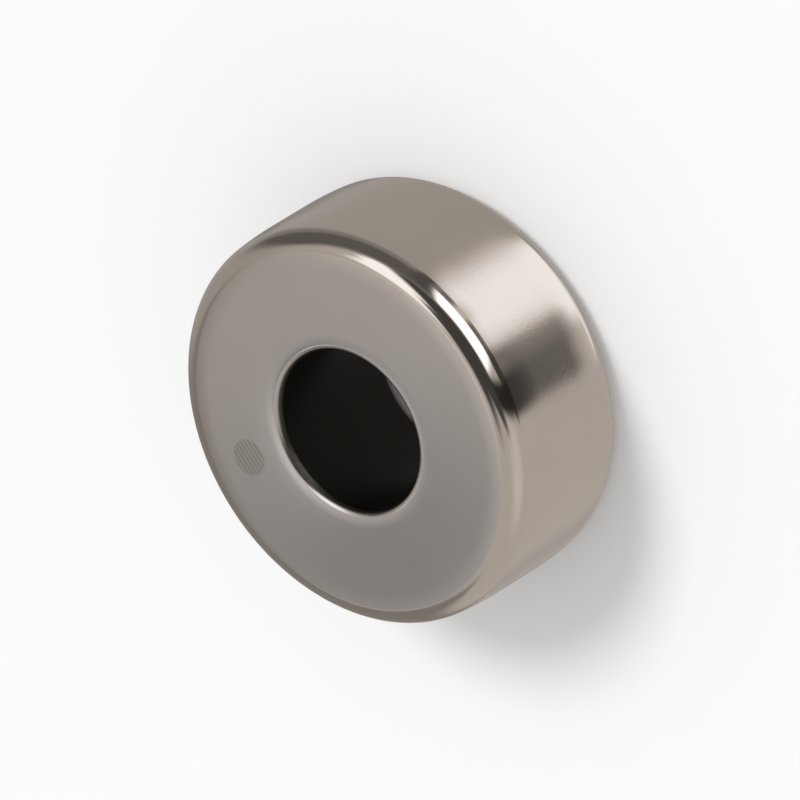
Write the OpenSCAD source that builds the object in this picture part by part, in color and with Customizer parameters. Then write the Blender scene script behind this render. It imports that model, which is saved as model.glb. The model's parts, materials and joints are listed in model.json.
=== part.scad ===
// Ring magnet: one sintered, nickel-plated ring with a plain through bore.
// It stands on its unmarked flat face, with the origin at the middle of that face and +Z along the bore.

/* [Ring] */
// Outside diameter of the ring
outer_d = 15; // [12:0.5:30]
// Height of the ring along its axis, from flat face to flat face
ring_h = 6; // [3:0.5:15]

/* [Bore] */
// Diameter of the straight through bore
bore_d = 6; // [3:0.5:8]

/* [Rounded edges] */
// Radius of the two outer edges, where the flat faces turn into the outside wall
edge_r = 0.75; // [0.3:0.05:1]
// Radius of the two bore mouths, where the flat faces turn into the bore
mouth_r = 0.3; // [0.1:0.05:0.6]

/* [Hidden] */
// Segments of a full circle in the preview
$fn = 180;
// Radii of the outside wall and of the bore
outer_r = outer_d / 2;
bore_r = bore_d / 2;
// Radial thickness of the ring's wall
wall_t = outer_r - bore_r;
// How far a cutter reaches past the section that it trims
overcut = 0.5;
plating_colour = [0.61, 0.57, 0.53];

// What a square corner at the origin loses when it is rounded to radius r.
// The body of the section lies towards +X and +Y of that corner.
module corner_waste(r) {
    difference() {
        translate([-overcut, -overcut])
            square(r + overcut);
        translate([r, r])
            circle(r = r);
    }
}

// The two corners that share one upright side of the section, at the bottom and at the top
module side_waste(r) {
    corner_waste(r);
    translate([0, ring_h])
        mirror([0, 1])
            corner_waste(r);
}

// Half section of the ring: bore side at the left, outside wall at the right
module ring_section() {
    difference() {
        translate([bore_r, 0])
            square([wall_t, ring_h]);
        translate([bore_r, 0])
            side_waste(mouth_r);
        translate([outer_r, 0])
            mirror([1, 0])
                side_waste(edge_r);
    }
}

module ring_magnet() {
    color(plating_colour)
        rotate_extrude()
            ring_section();
}

ring_magnet();
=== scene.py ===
"""Looks of a nickel-plated ring magnet: its mesh, its finish, and the small studio that it stands in."""

import json
import logging
import math
from dataclasses import dataclass
from enum import Enum
from typing import Any

import bmesh
import bpy
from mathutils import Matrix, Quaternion, Vector

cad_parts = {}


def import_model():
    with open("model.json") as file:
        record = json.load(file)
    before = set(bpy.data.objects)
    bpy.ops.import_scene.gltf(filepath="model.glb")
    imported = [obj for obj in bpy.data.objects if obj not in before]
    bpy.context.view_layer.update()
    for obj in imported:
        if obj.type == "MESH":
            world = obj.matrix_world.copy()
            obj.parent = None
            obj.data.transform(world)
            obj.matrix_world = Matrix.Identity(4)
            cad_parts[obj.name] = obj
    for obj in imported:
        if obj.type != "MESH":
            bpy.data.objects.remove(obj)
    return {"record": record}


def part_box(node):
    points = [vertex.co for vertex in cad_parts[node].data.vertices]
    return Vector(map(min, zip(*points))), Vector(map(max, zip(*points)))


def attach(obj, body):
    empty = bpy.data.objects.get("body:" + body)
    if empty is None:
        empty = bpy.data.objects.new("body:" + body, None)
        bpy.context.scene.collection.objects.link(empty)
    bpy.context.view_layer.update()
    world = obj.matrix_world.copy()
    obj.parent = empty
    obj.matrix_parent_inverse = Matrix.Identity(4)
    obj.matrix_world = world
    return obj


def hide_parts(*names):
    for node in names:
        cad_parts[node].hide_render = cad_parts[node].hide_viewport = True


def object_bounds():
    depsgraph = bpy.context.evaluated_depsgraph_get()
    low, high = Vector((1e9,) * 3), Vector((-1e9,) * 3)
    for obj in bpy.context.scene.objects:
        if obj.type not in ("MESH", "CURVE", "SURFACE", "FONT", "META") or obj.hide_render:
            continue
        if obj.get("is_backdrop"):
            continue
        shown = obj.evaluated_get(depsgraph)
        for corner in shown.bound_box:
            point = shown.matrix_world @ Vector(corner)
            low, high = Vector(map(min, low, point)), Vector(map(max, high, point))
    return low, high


LOG = logging.getLogger("ring_magnet")
MM = 0.001
FULL_TURN = 2 * math.pi
HALF_TURN_DEGREES = 180.0
IMAGE_SIDE = 800
# Two points nearer than this are one point
SAME_PLACE = 0.0003 * MM
# The level about which a noise pattern swings
NOISE_MIDDLE = 0.5
# Places of the Mix node's colour sockets, which share their names with its other sockets
MIX_FIRST, MIX_SECOND, MIX_RESULT = 6, 7, 2
Colour = tuple[float, float, float, float]


# Shader maths


class Channel:
    """A number that varies over a surface or a sky, with the usual operators."""

    def __init__(self, graph: "Graph", socket: bpy.types.NodeSocket) -> None:
        """Wraps one output.

        Args:
            graph: The node graph that the output belongs to.
            socket: The output socket.
        """
        self.graph = graph
        self.socket = socket

    def apply(self, operation: str, *others: Any) -> "Channel":
        """Runs one Math operation with this number first.

        Args:
            operation: The Math node's operation.
            others: The operation's other numbers, plain or varying.

        Returns:
            The result.
        """
        return self.graph.math(operation, self, *others)

    def __add__(self, other: Any) -> "Channel":
        """Adds a number."""
        return self.apply("ADD", other)

    __radd__ = __add__

    def __sub__(self, other: Any) -> "Channel":
        """Takes a number away."""
        return self.apply("SUBTRACT", other)

    def __rsub__(self, other: Any) -> "Channel":
        """Takes this number from another."""
        return self.graph.math("SUBTRACT", other, self)

    def __mul__(self, other: Any) -> "Channel":
        """Multiplies by a number."""
        return self.apply("MULTIPLY", other)

    __rmul__ = __mul__

    def __abs__(self) -> "Channel":
        """Drops the sign."""
        return self.apply("ABSOLUTE")

    def ramp(self, low: float, high: float) -> "Channel":
        """Rises smoothly from 0 to 1.

        Args:
            low: Where the ramp leaves 0.
            high: Where it reaches 1, which may be below low.

        Returns:
            The ramp's height.
        """
        node = self.graph.add(
            "ShaderNodeMapRange",
            {"interpolation_type": "SMOOTHSTEP", "clamp": True},
            {"Value": self, "From Min": low, "From Max": high},
        )
        return Channel(self.graph, node.outputs["Result"])


Level = Channel | float


def toward(start: Level, target: Level, share: Channel) -> Channel:
    """Moves a number toward another by a share from 0 to 1."""
    return start + (target - start) * share


class Graph:
    """A node tree that is filled by code."""

    def __init__(self, tree: bpy.types.NodeTree) -> None:
        """Empties the tree.

        Args:
            tree: The tree of a material or a world.
        """
        self.tree = tree
        tree.nodes.clear()

    def add(
        self,
        kind: str,
        settings: dict[str, Any] | None = None,
        sockets: dict[Any, Any] | None = None,
    ) -> bpy.types.Node:
        """Makes one node.

        Args:
            kind: The node's type.
            settings: Its properties, which are set first.
            sockets: Values or links for its inputs, by name or number.

        Returns:
            The node.
        """
        node = self.tree.nodes.new(kind)
        for name, value in (settings or {}).items():
            setattr(node, name, value)
        for key, value in (sockets or {}).items():
            self.feed(node.inputs[key], value)
        return node

    def feed(self, entry: bpy.types.NodeSocket, value: Any) -> None:
        """Links or sets one input.

        Args:
            entry: The input socket.
            value: A channel or output to link, or a plain value.
        """
        if isinstance(value, Channel):
            value = value.socket
        if isinstance(value, bpy.types.NodeSocket):
            self.tree.links.new(value, entry)
        else:
            entry.default_value = value

    def math(self, operation: str, *values: Any) -> Channel:
        """Adds a Math node.

        Args:
            operation: The node's operation.
            values: Its numbers, plain or varying.

        Returns:
            The result.
        """
        node = self.add("ShaderNodeMath", {"operation": operation}, dict(enumerate(values)))
        return Channel(self, node.outputs["Value"])

    def axes(self, place: bpy.types.NodeSocket) -> tuple[Channel, Channel, Channel]:
        """Splits a position or a direction into its parts.

        Args:
            place: The vector.

        Returns:
            Its X, Y and Z.
        """
        node = self.add("ShaderNodeSeparateXYZ", sockets={"Vector": place})
        x, y, z = node.outputs
        return Channel(self, x), Channel(self, y), Channel(self, z)

    def blend(self, share: Any, first: Any, second: Any) -> bpy.types.NodeSocket:
        """Mixes two colours.

        Args:
            share: How much of the second colour shows.
            first: The colour where share is 0.
            second: The colour where share is 1.

        Returns:
            The mixed colour.
        """
        sockets = {"Factor": share, MIX_FIRST: first, MIX_SECOND: second}
        return self.add("ShaderNodeMix", {"data_type": "RGBA"}, sockets).outputs[MIX_RESULT]

    def noise(self, place: Any, size: float, detail: float = 2.0) -> Channel:
        """Adds a noise pattern.

        Args:
            place: The position that the pattern follows.
            size: The rough size of a blotch, in metres.
            detail: How many finer layers lie on the first.

        Returns:
            The pattern, about 0 to 1.
        """
        sockets = {"Vector": place, "Scale": 1 / size, "Detail": detail}
        return Channel(self, self.add("ShaderNodeTexNoise", sockets=sockets).outputs["Fac"])


# The magnet


@dataclass(frozen=True)
class Ease:
    """How tumbling has worn one side of an edge.

    Over a width in metres, the surface comes to tip by an angle in radians.
    """

    width: float
    tilt: float
    steps: int = 8

    @property
    def fall(self) -> float:
        """Gives how far the surface has fallen where the ease ends."""
        return math.tan(self.tilt) * self.width / 2

    def run(self, end: float) -> list[tuple[float, float]]:
        """Works out how the surface falls away.

        Args:
            end: The distance from the side's square corner at which the ease ends.

        Returns:
            Pairs of a distance from the square corner and the fall there, from the flat to the edge.
        """
        if not self.width:
            return [(end, 0.0)]
        shares = [step / self.steps for step in range(self.steps + 1)]
        return [(end + self.width * (1 - share), self.fall * share**2) for share in shares]


@dataclass(frozen=True)
class Corner:
    """A rounded corner between an end face and a wall, both of which may ease off towards it.

    Lengths are in metres. The land is how far a side runs to its ease, as a multiple of the reach.
    """

    radius: float
    face: Ease
    wall: Ease
    segments: int
    land: float = 1.02

    @property
    def reach(self) -> float:
        """Gives how far the rounding reaches along each tipped side from the sharp corner."""
        return self.radius * math.tan((math.pi / 2 - self.face.tilt - self.wall.tilt) / 2)

    @property
    def back(self) -> float:
        """Gives how far the sharp corner lies behind the wall."""
        return self.wall.fall + self.reach * self.land * math.sin(self.wall.tilt)

    @property
    def drop(self) -> float:
        """Gives how far the sharp corner lies below the face."""
        return self.face.fall + self.reach * self.land * math.sin(self.face.tilt)

    @property
    def face_end(self) -> float:
        """Gives how far from the wall the face's ease ends."""
        return self.back + self.reach * self.land * math.cos(self.face.tilt)

    @property
    def wall_end(self) -> float:
        """Gives how far from the face the wall's ease ends."""
        return self.drop + self.reach * self.land * math.cos(self.wall.tilt)

    def outline(self) -> list[tuple[float, float]]:
        """Draws the corner, still sharp, from its face round to its wall.

        Returns:
            Pairs of a distance in from the wall and a distance in from the face.
        """
        wall = [(fall, away) for away, fall in reversed(self.wall.run(self.wall_end))]
        return self.face.run(self.face_end) + [(self.back, self.drop)] + wall


@dataclass
class RingMagnet:
    """The ring, standing on its plain face with its bore along Z. Lengths are in metres.

    Its faces ease off towards the outer edges and the bore mouths, and its wall towards the outer
    edges, and all of them then run on into the roundings.
    """

    outer_r: float
    bore_r: float
    height: float
    edge_r: float
    mouth_r: float
    face_ease: Ease = Ease(0.65 * MM, math.radians(4.6))
    wall_ease: Ease = Ease(1.3 * MM, math.radians(5.5))
    mouth_ease: Ease = Ease(0.42 * MM, math.radians(6.0))
    turn_steps: int = 288
    edge_segments: int = 14
    mouth_segments: int = 10
    flat_weight: int = 100

    @classmethod
    def from_frame(cls, record: dict[str, Any], node: str) -> "RingMagnet":
        """Reads the ring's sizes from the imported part.

        Args:
            record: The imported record, whose mounts give radii and straight lengths.
            node: The name of the ring's solid.

        Returns:
            The ring.
        """
        dims = {mount["name"]: mount["dims"] for mount in record["mounts"]}
        low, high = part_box(node)
        height = high.z - low.z
        rim, bore = dims["rim"], dims["bore"]
        return cls(
            outer_r=rim["r_mm"] * MM,
            bore_r=bore["r_mm"] * MM,
            height=height,
            edge_r=(height - rim["length_mm"] * MM) / 2,
            mouth_r=(height - bore["length_mm"] * MM) / 2,
        )

    @property
    def edge(self) -> Corner:
        """Gives the corner between a face and the outside wall."""
        return Corner(self.edge_r, self.face_ease, self.wall_ease, self.edge_segments)

    @property
    def mouth(self) -> Corner:
        """Gives the corner between a face and the bore, whose own wall stays straight."""
        return Corner(self.mouth_r, self.mouth_ease, Ease(0.0, 0.0), self.mouth_segments)

    def section(self) -> list[tuple[float, float]]:
        """Draws the ring's section with its corners still sharp.

        Returns:
            Pairs of a radius and a height, anticlockwise from the lower end of the bore's wall.
        """
        lower = [(self.bore_r + inward, z) for inward, z in reversed(self.mouth.outline())]
        lower += [(self.outer_r - inward, z) for inward, z in self.edge.outline()]
        return lower + [(radius, self.height - z) for radius, z in reversed(lower)]

    def build(self, name: str) -> bpy.types.Object:
        """Spins the ring's section and rounds its four circles.

        Args:
            name: The piece's name.

        Returns:
            The piece, at the origin.
        """
        shape = bmesh.new()
        corners = [shape.verts.new((radius, 0, z)) for radius, z in self.section()]
        sides = [
            shape.edges.new((corner, corners[(place + 1) % len(corners)]))
            for place, corner in enumerate(corners)
        ]
        bmesh.ops.spin(
            shape,
            geom=corners + sides,
            cent=(0, 0, 0),
            axis=(0, 0, 1),
            angle=FULL_TURN,
            steps=self.turn_steps,
            use_merge=True,
        )
        bmesh.ops.remove_doubles(shape, verts=shape.verts, dist=SAME_PLACE)
        self.round_corner(shape, self.edge, self.outer_r - self.edge.back)
        self.round_corner(shape, self.mouth, self.bore_r + self.mouth.back)
        bmesh.ops.recalc_face_normals(shape, faces=shape.faces)
        for face in shape.faces:
            face.smooth = True
        mesh = bpy.data.meshes.new(name)
        shape.to_mesh(mesh)
        shape.free()
        piece = bpy.data.objects.new(name, mesh)
        bpy.context.scene.collection.objects.link(piece)
        level = piece.modifiers.new("flat_faces", "WEIGHTED_NORMAL")
        level.mode = "FACE_AREA"
        level.weight = self.flat_weight
        return piece

    def round_corner(self, shape: bmesh.types.BMesh, corner: Corner, radius: float) -> None:
        """Rounds a corner's lower circle and its upper one.

        Args:
            shape: The ring so far.
            corner: The corner, whose sharp edge is a circle near each end face.
            radius: The radius of those circles.
        """
        circles = [
            edge
            for edge in shape.edges
            if all(abs(vert.co.xy.length - radius) < SAME_PLACE for vert in edge.verts)
            and all(abs(self.from_end(vert.co.z) - corner.drop) < SAME_PLACE for vert in edge.verts)
            and abs(edge.verts[0].co.z - edge.verts[1].co.z) < SAME_PLACE
        ]
        bmesh.ops.bevel(
            shape,
            geom=circles,
            offset=corner.reach,
            offset_type="OFFSET",
            affect="EDGES",
            segments=corner.segments,
            profile=0.5,
            material=-1,
            clamp_overlap=False,
        )

    def from_end(self, z: float) -> float:
        """Gives a height's distance from the nearer end face."""
        return min(z, self.height - z)


@dataclass(frozen=True)
class PoleDot:
    """A plain round pole mark, hatched with a laser into the upper face. Lengths are in metres.

    A line of the hatching fades in between two levels of a sine wave across it. The burns are how
    much of the finish the lines take, and the ground between them.
    """

    x: float = -4.60 * MM
    y: float = -1.86 * MM
    radius: float = 0.68 * MM
    blur: float = 0.06 * MM
    pitch: float = 0.17 * MM
    lean: float = math.radians(35.0)
    line_from: float = -0.9
    line_full: float = 0.7
    line_burn: float = 0.55
    ground_burn: float = 0.2
    colour: Colour = (0.36, 0.33, 0.305, 1.0)
    roughness: float = 0.42
    depth: float = 0.0025 * MM

    def cover(self, place: tuple[Channel, Channel, Channel], middle: float) -> Channel:
        """Works out where the laser has burnt the plating.

        Args:
            place: X, Y and Z on the surface.
            middle: The height halfway up the ring, above which the dot lies.

        Returns:
            How much of the burnt finish shows.
        """
        x, y, z = place
        aside, along = x - self.x, y - self.y
        spread = (aside * aside + along * along).apply("SQRT")
        disc = spread.ramp(self.radius + self.blur, self.radius - self.blur)
        across = aside * math.cos(self.lean) + along * math.sin(self.lean)
        wave = (across * (FULL_TURN / self.pitch)).apply("SINE")
        burn = wave.ramp(self.line_from, self.line_full) * self.line_burn + self.ground_burn
        return disc * z.apply("GREATER_THAN", middle) * burn


@dataclass(frozen=True)
class SatinNickel:
    """Satin nickel plating on a ground and tumbled ring. Lengths are in metres.

    The bore's rougher finish and its painted shade set in between two shares of the mouth's radius
    sits outside the bore. The glosses are the shares of an ease's width over which the polish of its
    edge sets in.
    """

    ring: RingMagnet
    dot: PoleDot
    wall_colour: Colour = (0.62, 0.57, 0.53, 1.0)
    face_colour: Colour = (0.608, 0.57, 0.545, 1.0)
    haze_colour: Colour = (0.575, 0.54, 0.515, 1.0)
    haze_share: float = 0.5
    haze_clouds: float = 0.6
    haze_from: float = 0.35
    haze_full: float = 0.7
    # Painted shade: the bore and the inner part of its mouth's rounding take this near-black colour in
    # place of the shade inside a bore, and it also hides the lamp's reflection there
    bore_painted_shade: Colour = (0.065, 0.06, 0.05, 1.0)
    bore_from: float = 0.6
    bore_full: float = 0.25
    face_roughness: float = 0.25
    wall_roughness: float = 0.17
    edge_roughness: float = 0.09
    mouth_roughness: float = 0.16
    bore_roughness: float = 0.42
    cloud_roughness: float = 0.05
    grain_roughness: float = 0.06
    cloud: float = 2.6 * MM
    peel: float = 0.13 * MM
    grain: float = 0.10 * MM
    peel_height: float = 0.0013 * MM
    grain_height: float = 0.0008 * MM
    edge_polish: float = 0.25
    face_gloss: float = 0.12
    mouth_gloss: float = 0.4

    def make(self, name: str) -> bpy.types.Material:
        """Builds the material.

        Args:
            name: The material's name.

        Returns:
            The material.
        """
        material = bpy.data.materials.new(name)
        material.use_nodes = True
        graph = Graph(material.node_tree)
        place = graph.add("ShaderNodeTexCoord").outputs["Object"]
        x, y, z = graph.axes(place)
        radius = (x * x + y * y).apply("SQRT")
        ring = self.ring
        from_end = graph.math("MINIMUM", z, ring.height - z)
        edge, mouth = ring.edge, ring.mouth
        bore_from = ring.bore_r + ring.mouth_r * self.bore_from
        in_bore = radius.ramp(bore_from, ring.bore_r + ring.mouth_r * self.bore_full)
        mouth_end = ring.bore_r + mouth.face_end
        on_mouth = radius.ramp(mouth_end + mouth.face.width * self.mouth_gloss, mouth_end)
        face_end = ring.outer_r - edge.face_end
        past_face = radius.ramp(face_end - edge.face.width * self.face_gloss, face_end)
        near_end = from_end.ramp(edge.wall_end + edge.wall.width, edge.wall_end)
        on_edge = past_face * near_end
        on_wall = past_face * (1 - near_end)
        burnt = self.dot.cover((x, y, z), ring.height / 2)
        clouds = graph.noise(place, self.cloud, detail=4.0)
        peel = graph.noise(place, self.peel)
        grains = graph.noise(place, self.grain)
        colour = graph.blend(past_face, self.face_colour, self.wall_colour)
        haze = clouds * self.haze_clouds + grains * (1 - self.haze_clouds)
        haze = haze.ramp(self.haze_from, self.haze_full) * self.haze_share
        colour = graph.blend(haze, colour, self.haze_colour)
        # Painted shade: the bore and the inner part of the mouth's rounding turn near black
        colour = graph.blend(in_bore, colour, self.bore_painted_shade)
        colour = graph.blend(burnt, colour, self.dot.colour)
        rough = on_wall * (self.wall_roughness - self.face_roughness) + self.face_roughness
        rough = toward(rough, self.edge_roughness, on_edge)
        rough = toward(rough, self.mouth_roughness, on_mouth)
        rough = toward(rough, self.bore_roughness, in_bore)
        rough = toward(rough, self.dot.roughness, burnt)
        cloud_swing, grain_swing = clouds - NOISE_MIDDLE, grains - NOISE_MIDDLE
        rough = rough + cloud_swing * self.cloud_roughness + grain_swing * self.grain_roughness
        relief = (peel - NOISE_MIDDLE) * self.peel_height * on_wall + grain_swing * self.grain_height
        relief = relief * (1 - (on_edge + on_mouth) * (1 - self.edge_polish)) - burnt * self.dot.depth
        bump = graph.add("ShaderNodeBump", sockets={"Strength": 1.0, "Distance": 1.0, "Height": relief})
        surface = graph.add(
            "ShaderNodeBsdfPrincipled",
            sockets={
                "Base Color": colour,
                "Metallic": 1.0,
                "Roughness": rough,
                "Normal": bump.outputs["Normal"],
            },
        )
        graph.add("ShaderNodeOutputMaterial", sockets={"Surface": surface.outputs["BSDF"]})
        return material


# The studio


def direction(azimuth: float, elevation: float) -> Vector:
    """Gives the unit vector at an angle round Z from +X and an angle above the floor.

    Args:
        azimuth: The angle round Z, in degrees.
        elevation: The angle above the floor, in degrees.

    Returns:
        The vector.
    """
    turn, rise = math.radians(azimuth), math.radians(elevation)
    return Vector((math.cos(turn) * math.cos(rise), math.sin(turn) * math.cos(rise), math.sin(rise)))


def stage_sheet(name: str, sheet: bmesh.types.BMesh, material: bpy.types.Material) -> bpy.types.Object:
    """Turns a flat shape into a part of the stage.

    Args:
        name: The object's name.
        sheet: The shape, which is used up.
        material: Its finish.

    Returns:
        The object.
    """
    mesh = bpy.data.meshes.new(name)
    sheet.to_mesh(mesh)
    sheet.free()
    mesh.materials.append(material)
    item = bpy.data.objects.new(name, mesh)
    bpy.context.scene.collection.objects.link(item)
    item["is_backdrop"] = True
    return item


class Tone(Enum):
    """How much light a part of the studio sends to the metal, where 1 is a white card in full light."""

    BLACK = 0.025
    SHADE = 0.07
    DEEP = 0.10
    DARK = 0.14
    MURK = 0.16
    DIM = 0.20
    FAINT = 0.28
    GREY = 0.44
    SOFT = 0.565
    WALL = 0.575
    LIGHT = 0.72
    CLEAR = 0.82
    PALE = 1.1
    STRIP = 1.38
    BRIGHT = 1.55
    LAMP = 2.0


@dataclass(frozen=True)
class Card:
    """A softbox or a dark card, as a window of directions round the ring. Angles are in degrees.

    Its sides and its ends fade out over twice the feather and the fade. Its lean is how far its
    azimuth shifts for each degree up.
    """

    azimuth: float
    elevation: float
    half_width: float
    half_height: float
    feather: float
    fade: float
    tone: Tone
    lean: float = 0.0

    def over(self, azimuth: Channel, elevation: Channel, behind: Level) -> Channel:
        """Lays the card over what is behind it.

        Args:
            azimuth: The direction's angle round Z from +X.
            elevation: The direction's angle above the floor.
            behind: The light that comes from there without the card.

        Returns:
            The light with the card in place.
        """
        above = elevation - self.elevation
        aside = azimuth - self.azimuth - above * self.lean
        aside = aside.apply("WRAP", HALF_TURN_DEGREES, -HALF_TURN_DEGREES)
        across = abs(aside).ramp(self.half_width + self.feather, self.half_width - self.feather)
        up = abs(above).ramp(self.half_height + self.fade, self.half_height - self.fade)
        return toward(behind, self.tone.value, across * up)


# The pale room at -75 to -30 degrees, which the rounded edge mirrors
ROOM = (
    Card(-75.0, 52.0, 55.0, 30.0, 14.0, 14.0, Tone.SOFT),
    Card(-30.0, 28.0, 26.0, 20.0, 14.0, 14.0, Tone.LIGHT),
)
# The low room, which both ends of the visible wall mirror and the edge beside them
LOW_ROOM = (
    Card(136.0, -55.0, 58.0, 35.0, 12.0, 12.0, Tone.GREY),
    Card(-100.0, -50.0, 32.0, 20.0, 16.0, 12.0, Tone.SOFT),
    Card(-125.0, -50.0, 25.0, 30.0, 12.0, 12.0, Tone.GREY),
    Card(122.0, -14.0, 46.0, 12.0, 12.0, 9.0, Tone.FAINT),
)
# The light on the upper face and beside it, and on the roundings that lean away from the camera
FACE_LIGHT = (
    Card(228.0, 42.0, 42.0, 20.0, 12.0, 12.0, Tone.SOFT),
    Card(186.0, 8.0, 22.0, 40.0, 9.0, 9.0, Tone.GREY),
    Card(226.0, 4.0, 27.0, 37.5, 7.0, 3.5, Tone.FAINT),
    Card(204.0, -46.0, 18.0, 12.0, 8.0, 6.0, Tone.FAINT),
    Card(212.0, 54.5, 7.5, 6.0, 4.0, 3.5, Tone.CLEAR),
)
# The dark strip along the rounded edge
DARK_STRIP = (
    Card(0.0, 90.0, 200.0, 16.0, 3.0, 7.0, Tone.SHADE),
    Card(43.5, 64.0, 59.5, 22.0, 6.0, 8.0, Tone.SHADE),
    Card(118.0, 19.0, 48.0, 25.0, 9.0, 8.0, Tone.DARK),
    Card(77.0, 0.0, 6.0, 34.0, 4.0, 8.0, Tone.DEEP),
)
# The bright line between the face and that strip
BRIGHT_LINE = (
    Card(155.5, 66.0, 42.5, 8.0, 12.0, 3.0, Tone.BRIGHT),
    Card(119.5, 55.0, 8.5, 7.0, 5.0, 4.0, Tone.BRIGHT, lean=0.3),
    Card(134.0, 56.0, 10.0, 5.0, 5.0, 3.0, Tone.BRIGHT, lean=1.6),
)
# The bright band down the wall
WALL_BAND = (
    Card(35.0, -72.0, 45.0, 16.0, 4.0, 4.0, Tone.PALE),
    Card(53.5, -47.0, 20.5, 14.0, 13.0, 5.0, Tone.STRIP),
    Card(48.0, -58.0, 26.0, 9.0, 10.0, 4.0, Tone.STRIP),
)
# The dark patch on the wall and on the edge beside it, and the light edge next to the patch
WALL_PATCH = (
    Card(43.0, -15.0, 27.0, 13.0, 4.0, 4.0, Tone.DIM),
    Card(23.0, -42.0, 8.0, 8.0, 4.0, 4.0, Tone.DIM),
    Card(24.0, -16.0, 8.0, 18.0, 4.0, 4.0, Tone.SHADE),
    Card(54.0, -18.0, 5.0, 17.0, 3.0, 3.0, Tone.LIGHT),
    Card(7.0, -32.0, 11.5, 16.0, 4.0, 4.0, Tone.SHADE),
)
# The black streak and the brightest one on the rounded edge
EDGE_STREAKS = (
    Card(8.5, 8.0, 9.5, 40.0, 4.0, 8.0, Tone.BLACK),
    Card(51.5, 19.0, 17.5, 21.0, 3.0, 5.0, Tone.LAMP),
    Card(38.0, 19.0, 12.0, 21.0, 4.0, 5.0, Tone.LAMP, lean=-0.17),
)


@dataclass(frozen=True)
class HeldCard:
    """A round or oval card close to the ring, which only mirrored rays see.

    Angles are in degrees and lengths in metres. Its squeeze is its height as a share of its width.
    """

    name: str
    azimuth: float
    elevation: float
    distance: float
    radius: float
    middle: Tone
    rim: Tone
    squeeze: float = 1.0
    sides: int = 96

    def build(self, target: Vector) -> None:
        """Makes the card, facing the ring.

        Args:
            target: The middle of the ring's upper face, from which the card is measured.
        """
        away = direction(self.azimuth, self.elevation)
        centre = target + away * self.distance
        turn = away.to_track_quat("Z", "Y").to_matrix()
        sheet = bmesh.new()
        bmesh.ops.create_circle(sheet, cap_ends=True, segments=self.sides, radius=self.radius)
        bmesh.ops.scale(sheet, verts=sheet.verts, vec=(1, self.squeeze, 1))
        bmesh.ops.rotate(sheet, verts=sheet.verts, cent=(0, 0, 0), matrix=turn)
        bmesh.ops.translate(sheet, verts=sheet.verts, vec=centre)
        material = bpy.data.materials.new(self.name)
        material.use_nodes = True
        material.cycles.emission_sampling = "NONE"
        graph = Graph(material.node_tree)
        place = graph.add("ShaderNodeTexCoord").outputs["Object"]
        settings = {"operation": "DISTANCE"}
        spread = graph.add("ShaderNodeVectorMath", settings, {0: place, 1: centre}).outputs["Value"]
        level = Channel(graph, spread).ramp(0.0, self.radius) * (self.rim.value - self.middle.value)
        glow = graph.add("ShaderNodeEmission", sockets={"Strength": level + self.middle.value})
        graph.add("ShaderNodeOutputMaterial", sockets={"Surface": glow.outputs["Emission"]})
        card = stage_sheet(self.name, sheet, material)
        card.visible_camera = False
        card.visible_diffuse = False
        card.visible_transmission = False
        card.visible_shadow = False


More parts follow.
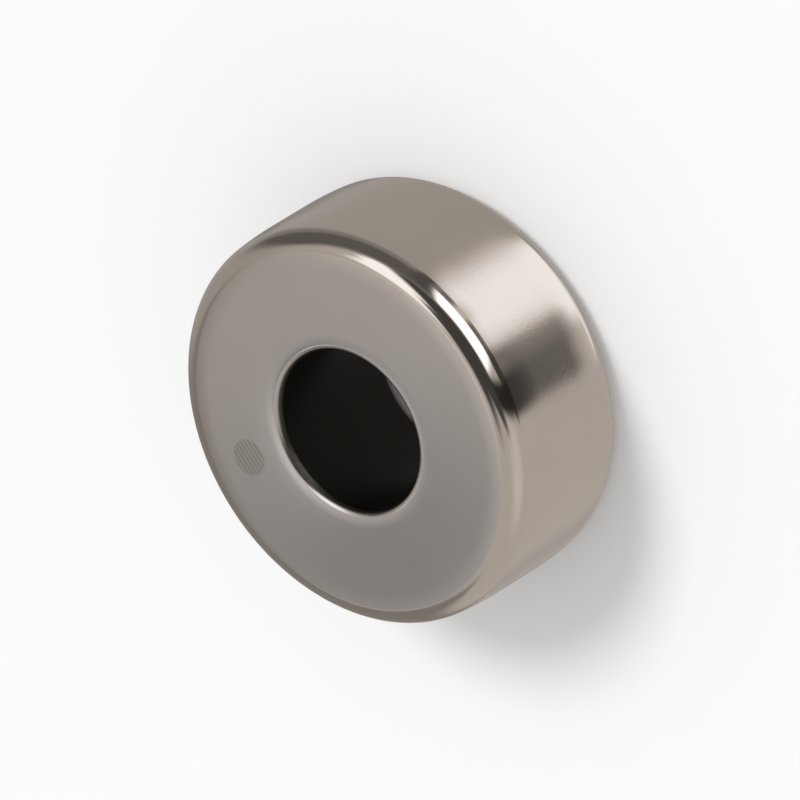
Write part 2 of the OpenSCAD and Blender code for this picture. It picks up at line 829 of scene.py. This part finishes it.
@dataclass(frozen=True)
class Studio:
    """The floor, the lamp and the surroundings that the metal mirrors."""

    floor_side: float = 6.0
    floor_colour: float = 0.96
    ambient: float = 0.68
    lamp_azimuth: float = 107.0
    lamp_elevation: float = 52.0
    lamp_width: float = 22.0
    lamp_share: float = 0.34
    warmth: Colour = (1.06, 1.0, 0.92, 1.0)
    cards: tuple[Card, ...] = (
        ROOM + LOW_ROOM + FACE_LIGHT + DARK_STRIP + BRIGHT_LINE + WALL_BAND + WALL_PATCH + EDGE_STREAKS
    )
    held_cards: tuple[HeldCard, ...] = (
        HeldCard("face_shade", 223.4, 43.7, 41.1 * MM, 8.8 * MM, Tone.MURK, Tone.SOFT),
        HeldCard("mouth_glow", 214.0, 38.0, 11.3 * MM, 2.4 * MM, Tone.PALE, Tone.SOFT, squeeze=0.25),
        HeldCard("bore_shade", 0.0, -90.0, 6.0 * MM, 3.3 * MM, Tone.MURK, Tone.MURK),
    )

    @property
    def backdrop(self) -> float:
        """Gives the level that the lit floor shows, so that the two meet without a line."""
        return self.floor_colour * (self.ambient + self.lamp_share)

    def build(self, base: float, top: float) -> None:
        """Makes the whole studio.

        Args:
            base: The height of the floor, in metres.
            top: The height of the ring's upper face, in metres.
        """
        self.make_floor(base)
        self.make_lamp()
        self.make_surroundings()
        for card in self.held_cards:
            card.build(Vector((0, 0, top)))

    def make_floor(self, base: float) -> None:
        """Lays a plain pale floor that keeps the shadow. Mirrored rays pass it, to the surroundings.

        Args:
            base: The floor's height, in metres.
        """
        sheet = bmesh.new()
        bmesh.ops.create_grid(sheet, x_segments=1, y_segments=1, size=self.floor_side / 2)
        bmesh.ops.translate(sheet, verts=sheet.verts, vec=(0, 0, base))
        material = bpy.data.materials.new("floor_white")
        material.use_nodes = True
        graph = Graph(material.node_tree)
        white = (self.floor_colour, self.floor_colour, self.floor_colour, 1.0)
        paint = graph.add("ShaderNodeBsdfDiffuse", sockets={"Color": white})
        graph.add("ShaderNodeOutputMaterial", sockets={"Surface": paint.outputs["BSDF"]})
        stage_sheet("floor", sheet, material).visible_glossy = False

    def make_lamp(self) -> None:
        """Hangs one wide soft lamp, which gives the floor its shadow."""
        light = bpy.data.lights.new("soft_lamp", "SUN")
        light.angle = math.radians(self.lamp_width)
        light.energy = math.pi * self.lamp_share / math.sin(math.radians(self.lamp_elevation))
        lamp = bpy.data.objects.new("soft_lamp", light)
        bpy.context.scene.collection.objects.link(lamp)
        away = direction(self.lamp_azimuth, self.lamp_elevation)
        lamp.rotation_mode = "QUATERNION"
        lamp.rotation_quaternion = away.to_track_quat("Z", "Y")
        lamp.visible_glossy = False

    def make_surroundings(self) -> None:
        """Sets the world: the pale backdrop, the soft light, and the cards that the metal mirrors."""
        world = bpy.data.worlds.new("studio")
        world.use_nodes = True
        world.cycles.sampling_method = "NONE"
        bpy.context.scene.world = world
        graph = Graph(world.node_tree)
        look = graph.add("ShaderNodeTexCoord").outputs["Generated"]
        x, y, z = graph.axes(look)
        azimuth = graph.math("DEGREES", graph.math("ARCTAN2", y, x))
        elevation = graph.math("DEGREES", z.apply("ARCSINE"))
        mirrored: Level = Tone.WALL.value
        for card in self.cards:
            mirrored = card.over(azimuth, elevation, mirrored)
        ray = graph.add("ShaderNodeLightPath").outputs
        seen = Channel(graph, ray["Is Camera Ray"]) + Channel(graph, ray["Is Transmission Ray"])
        glossy = Channel(graph, ray["Is Glossy Ray"])
        level = (1 - seen - glossy) * self.ambient + seen * self.backdrop + glossy * mirrored
        tinted = glossy * mirrored.ramp(Tone.PALE.value, Tone.LIGHT.value)
        tint = graph.blend(tinted, (1, 1, 1, 1), self.warmth)
        air = graph.add("ShaderNodeBackground", sockets={"Strength": level, "Color": tint})
        graph.add("ShaderNodeOutputWorld", sockets={"Surface": air.outputs["Background"]})


@dataclass(frozen=True)
class Viewpoint:
    """The camera. Angles are in degrees and lengths in metres.

    It sees things between two multiples of its distance from the magnet.
    """

    azimuth: float = 34.1
    elevation: float = 44.4
    roll: float = -121.5
    distance: float = 0.855
    magnet_pixels: float = 430.0
    nearest: float = 0.01
    farthest: float = 10.0

    def build(self, target: Vector, width: float) -> None:
        """Places the camera.

        Args:
            target: The point at the middle of the picture.
            width: The magnet's outside diameter.
        """
        lens = bpy.data.cameras.new("camera")
        focus = self.magnet_pixels * self.distance / width
        lens.lens = lens.sensor_width * focus / IMAGE_SIDE
        lens.clip_start = self.distance * self.nearest
        lens.clip_end = self.distance * self.farthest
        camera = bpy.data.objects.new("camera", lens)
        bpy.context.scene.collection.objects.link(camera)
        back = direction(self.azimuth, self.elevation)
        turn = Quaternion((0, 0, 1), math.radians(self.roll))
        camera.rotation_mode = "QUATERNION"
        camera.rotation_quaternion = back.to_track_quat("Z", "Y") @ turn
        camera.location = target + back * self.distance
        bpy.context.scene.camera = camera


# The whole


def main() -> None:
    """Builds the magnet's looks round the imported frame."""
    logging.basicConfig(level=logging.INFO, format="%(name)s: %(message)s")
    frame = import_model()
    cad_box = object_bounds()
    node = "ring_magnet"
    ring = RingMagnet.from_frame(frame["record"], node)
    magnet = ring.build("plated_ring")
    magnet.data.materials.append(SatinNickel(ring, PoleDot()).make("satin_nickel"))
    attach(magnet, "root")
    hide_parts(node)
    LOG.info("%s: %d faces", magnet.name, len(magnet.data.polygons))
    low, high = cad_box
    Studio().build(low.z, high.z)
    Viewpoint().build((low + high) / 2, 2 * ring.outer_r)
    bpy.context.scene.view_settings.view_transform = "Standard"


if __name__ == "__main__":
    main()
